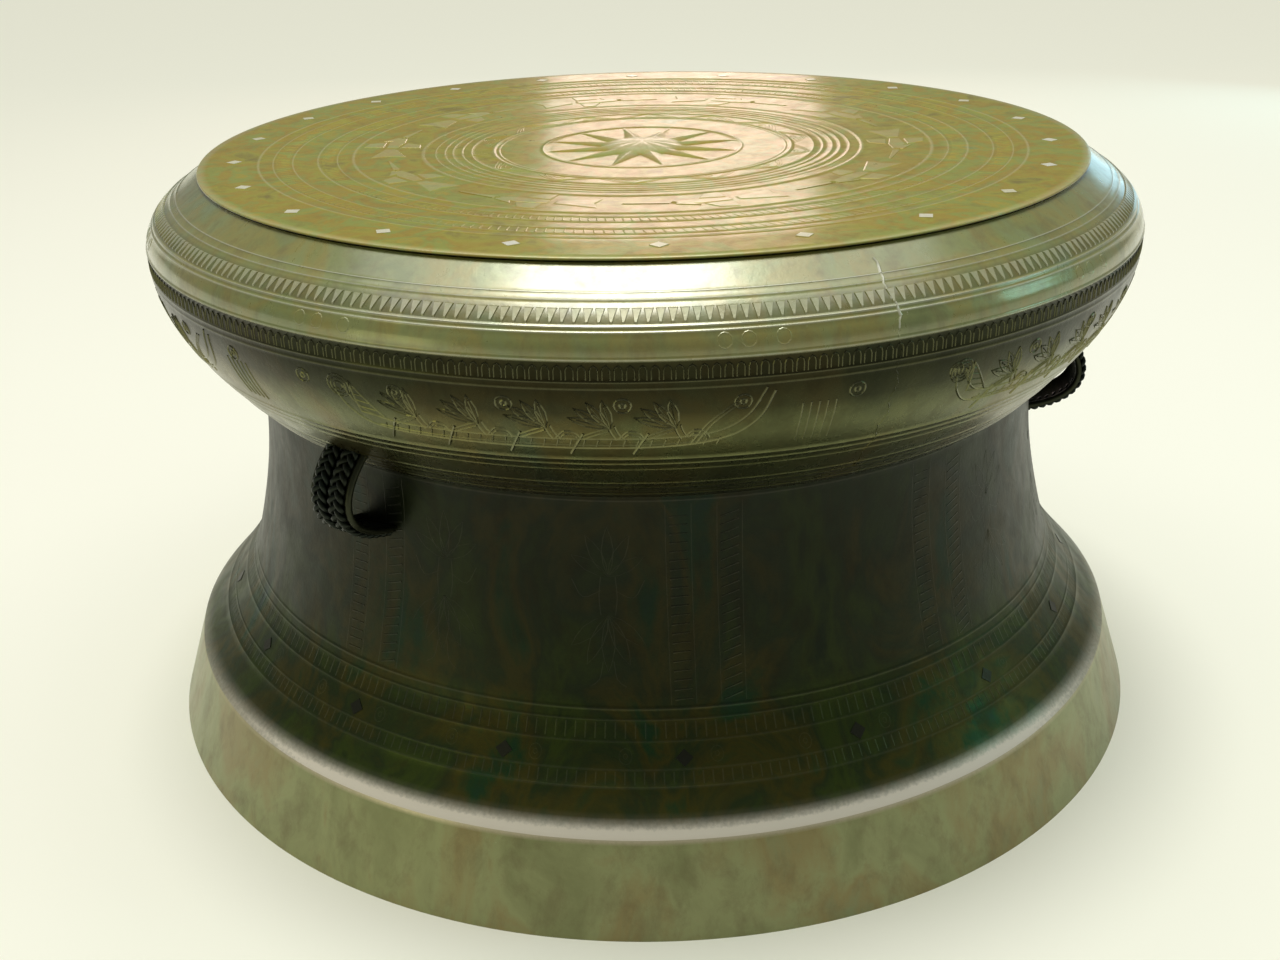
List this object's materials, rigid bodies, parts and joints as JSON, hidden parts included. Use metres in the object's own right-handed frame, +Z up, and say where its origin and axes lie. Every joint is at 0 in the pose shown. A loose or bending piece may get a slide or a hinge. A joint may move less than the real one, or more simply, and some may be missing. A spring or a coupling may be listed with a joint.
{
  "type": "ritual bronze drum",
  "caption": "Waisted bronze kettle drum with a flat star tympanum, swelling chest, flared open foot and plaited strap ears.",
  "frame": {"origin": "centre of the open foot, on the ground plane", "axes": "+Z up along the drum's axis, +X and -X through the middles of the two ear pairs"},
  "size_m": [0.678, 0.678, 0.3687],
  "materials": {
    "face_bronze": "handled bronze with a thin olive and ochre patina",
    "body_bronze": "dark olive green patina over cast bronze",
    "ear_bronze": "near black patina on cast plaited cords",
    "spacer_bronze": "paler worn bronze of the casting spacers"
  },
  "bodies": {
    "root": {"tympanum": "face_bronze", "shoulder": "body_bronze", "chest": "body_bronze", "waist": "body_bronze", "skirt": "body_bronze", "foot": "body_bronze", "ear_right_rear": "ear_bronze", "ear_left_rear": "ear_bronze", "ear_left_front": "ear_bronze", "ear_right_front": "ear_bronze", "face_spacer_01": "spacer_bronze", "face_spacer_02": "spacer_bronze", "face_spacer_03": "spacer_bronze", "face_spacer_04": "spacer_bronze", "face_spacer_05": "spacer_bronze", "face_spacer_06": "spacer_bronze", "face_spacer_07": "spacer_bronze", "face_spacer_08": "spacer_bronze", "face_spacer_09": "spacer_bronze", "face_spacer_10": "spacer_bronze", "face_spacer_11": "spacer_bronze", "face_spacer_12": "spacer_bronze", "face_spacer_13": "spacer_bronze", "face_spacer_14": "spacer_bronze", "face_spacer_15": "spacer_bronze", "face_spacer_16": "spacer_bronze", "face_spacer_17": "spacer_bronze", "face_spacer_18": "spacer_bronze", "face_spacer_19": "spacer_bronze", "face_spacer_20": "spacer_bronze", "face_spacer_21": "spacer_bronze", "face_spacer_22": "spacer_bronze", "skirt_spacer_01": "spacer_bronze", "skirt_spacer_02": "spacer_bronze", "skirt_spacer_03": "spacer_bronze", "skirt_spacer_04": "spacer_bronze", "skirt_spacer_05": "spacer_bronze", "skirt_spacer_06": "spacer_bronze", "skirt_spacer_07": "spacer_bronze", "skirt_spacer_08": "spacer_bronze", "skirt_spacer_09": "spacer_bronze", "skirt_spacer_10": "spacer_bronze", "skirt_spacer_11": "spacer_bronze", "skirt_spacer_12": "spacer_bronze", "skirt_spacer_13": "spacer_bronze", "skirt_spacer_14": "spacer_bronze", "skirt_spacer_15": "spacer_bronze", "skirt_spacer_16": "spacer_bronze", "skirt_spacer_17": "spacer_bronze", "skirt_spacer_18": "spacer_bronze"}
  },
  "joints": []
}
